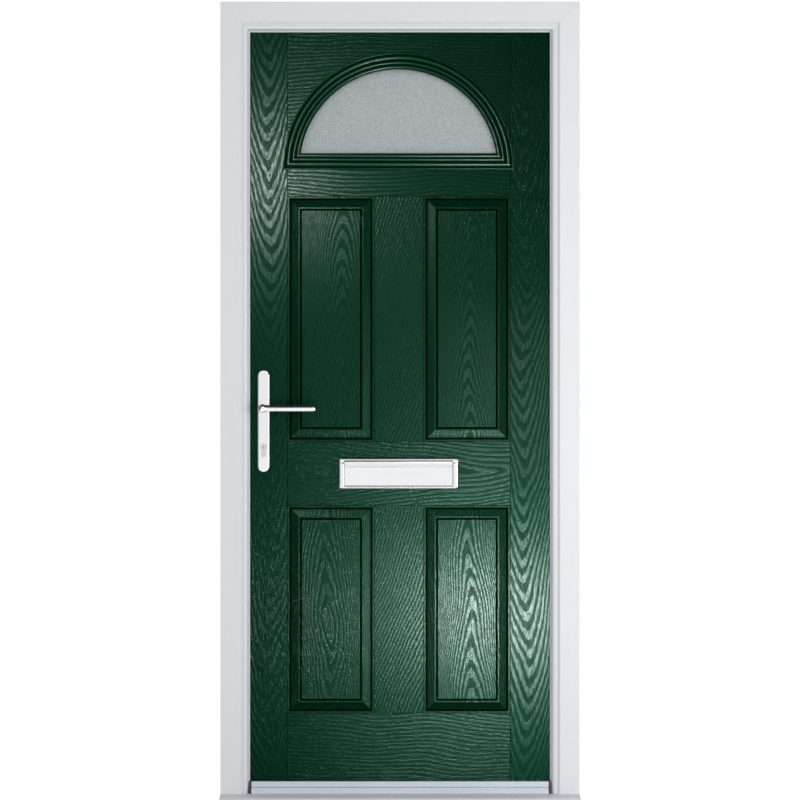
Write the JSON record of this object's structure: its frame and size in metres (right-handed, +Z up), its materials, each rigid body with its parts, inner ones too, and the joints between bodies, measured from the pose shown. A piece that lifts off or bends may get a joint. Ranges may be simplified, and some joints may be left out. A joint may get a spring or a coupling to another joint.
{
  "type": "panelled front door with frame",
  "caption": "Panelled front door with a half-round light, lever handle and letterplate, hung in a mitred frame on a low threshold and a cill.",
  "frame": {"origin": "underside of the cill, half way along the frame and half way through the depth of its jambs", "axes": "+X to the right seen from outside, +Y from outside to inside, +Z up"},
  "size_m": [0.92, 0.1584, 2.06],
  "materials": {
    "white_frame": "gloss",
    "zinc_steel": "zinc plated",
    "bright_aluminium": "bright",
    "dark_plastic": "matt",
    "black_seal": "matt",
    "white_hinge": "powder coated",
    "green_skin": "satin, wood grain embossed",
    "foam": "matt",
    "timber": "plain",
    "frosted_glass": "satin",
    "grey_spacer": "mill",
    "chrome": "polished",
    "nickel": "nickel plated"
  },
  "bodies": {
    "frame": {"frame_head": "white_frame", "frame_jamb_lock_side": "white_frame", "frame_jamb_hinge_side": "white_frame", "cill": "white_frame", "cill_end_caps": "white_frame", "frame_reinforcement": "zinc_steel", "threshold": "bright_aluminium", "threshold_end_blocks": "dark_plastic", "frame_seal": "black_seal", "latch_keep": "zinc_steel", "hook_keeps": "zinc_steel", "hinge_frame_leaves": "white_hinge", "hinge_pins": "zinc_steel", "frame_screws": "zinc_steel"},
    "leaf": {"bottom_rail": "timber", "bottom_weather_seal": "black_seal", "cylinder_body": "nickel", "flap_springs": "zinc_steel", "foam_core": "foam", "furniture_screws": "chrome", "gearbox_case": "zinc_steel", "glazing_gaskets": "black_seal", "glazing_screw_caps": "green_skin", "glazing_screws": "zinc_steel", "hinge_door_leaves": "white_hinge", "hinge_door_screws": "zinc_steel", "hinge_stile": "timber", "hook_cases": "zinc_steel", "inner_glazing_frame": "green_skin", "inner_handle_plate": "chrome", "inner_pane": "frosted_glass", "inner_skin": "green_skin", "letterplate_brush": "dark_plastic", "letterplate_inner_frame": "chrome", "letterplate_outer_frame": "chrome", "letterplate_sleeve": "dark_plastic", "lock_faceplate": "zinc_steel", "lock_screws": "zinc_steel", "lock_stile": "timber", "outer_glazing_frame": "green_skin", "outer_handle_plate": "chrome", "outer_pane": "frosted_glass", "outer_skin": "green_skin", "spacer_bar": "grey_spacer", "top_rail": "timber"},
    "lever_set": {"outer_lever": "chrome", "inner_lever": "chrome", "spindle": "zinc_steel", "follower": "zinc_steel"},
    "latch": {"latch_bolt": "nickel"},
    "turn": {"thumbturn": "chrome", "cylinder_cam": "nickel"},
    "rods": {"drive_rods": "zinc_steel"},
    "dead_bolt": {"deadbolt": "nickel"},
    "upper_hook": {"hook_top": "nickel"},
    "lower_hook": {"hook_bottom": "nickel"},
    "plug": {"key_plug": "nickel"},
    "outside_flap": {"outer_flap": "chrome"},
    "inside_flap": {"inner_flap": "chrome"}
  },
  "joints": [
    {"name": "door_swing", "type": "hinge", "parent": "frame", "child": "leaf", "pos_m": [0.401, 0.047, 1.02], "axis": [0, 0, -1], "range_deg": [0, 100]},
    {"name": "lever_turn", "type": "hinge", "parent": "leaf", "child": "lever_set", "pos_m": [-0.351, 0.015, 1.018], "axis": [0, 1, 0], "range_deg": [0, 40], "stiffness_Nm_per_rad": 2, "springref_deg": -34.38},
    {"name": "latch_slide", "type": "slide", "parent": "leaf", "child": "latch", "axis": [1, 0, 0], "range_m": [0, 0.012]},
    {"name": "thumbturn_turn", "type": "hinge", "parent": "leaf", "child": "turn", "pos_m": [-0.351, 0.015, 0.918], "axis": [0, 1, 0], "range_deg": [0, 360]},
    {"name": "rod_slide", "type": "slide", "parent": "leaf", "child": "rods", "axis": [0, 0, 1], "range_m": [0, 0.02]},
    {"name": "deadbolt_slide", "type": "slide", "parent": "leaf", "child": "dead_bolt", "axis": [-1, 0, 0], "range_m": [0, 0.02]},
    {"name": "top_hook_turn", "type": "hinge", "parent": "leaf", "child": "upper_hook", "pos_m": [-0.374, 0.015, 1.68], "axis": [0, -1, 0], "range_deg": [0, 90]},
    {"name": "bottom_hook_turn", "type": "hinge", "parent": "leaf", "child": "lower_hook", "pos_m": [-0.374, 0.015, 0.3], "axis": [0, -1, 0], "range_deg": [0, 90]},
    {"name": "key_turn", "type": "hinge", "parent": "leaf", "child": "plug", "pos_m": [-0.351, 0, 0.918], "axis": [0, 1, 0], "continuous": true},
    {"name": "outer_flap_swing", "type": "hinge", "parent": "leaf", "child": "outside_flap", "pos_m": [-0.0037, -0.0123, 0.8791], "axis": [-1, 0, 0], "range_deg": [0, 80], "stiffness_Nm_per_rad": 0.3, "springref_deg": -34.38},
    {"name": "inner_flap_swing", "type": "hinge", "parent": "leaf", "child": "inside_flap", "pos_m": [-0.0037, 0.0423, 0.8791], "axis": [1, 0, 0], "range_deg": [0, 80], "stiffness_Nm_per_rad": 0.3, "springref_deg": -34.38}
  ],
  "couplings": [
    {"joint": "latch_slide", "follows": "lever_turn", "m_per_rad": 0.017189},
    {"joint": "thumbturn_turn", "follows": "rod_slide", "rad_per_m": 314.16},
    {"joint": "deadbolt_slide", "follows": "rod_slide", "ratio": 1},
    {"joint": "top_hook_turn", "follows": "rod_slide", "rad_per_m": 78.539},
    {"joint": "bottom_hook_turn", "follows": "rod_slide", "rad_per_m": 78.539}
  ]
}
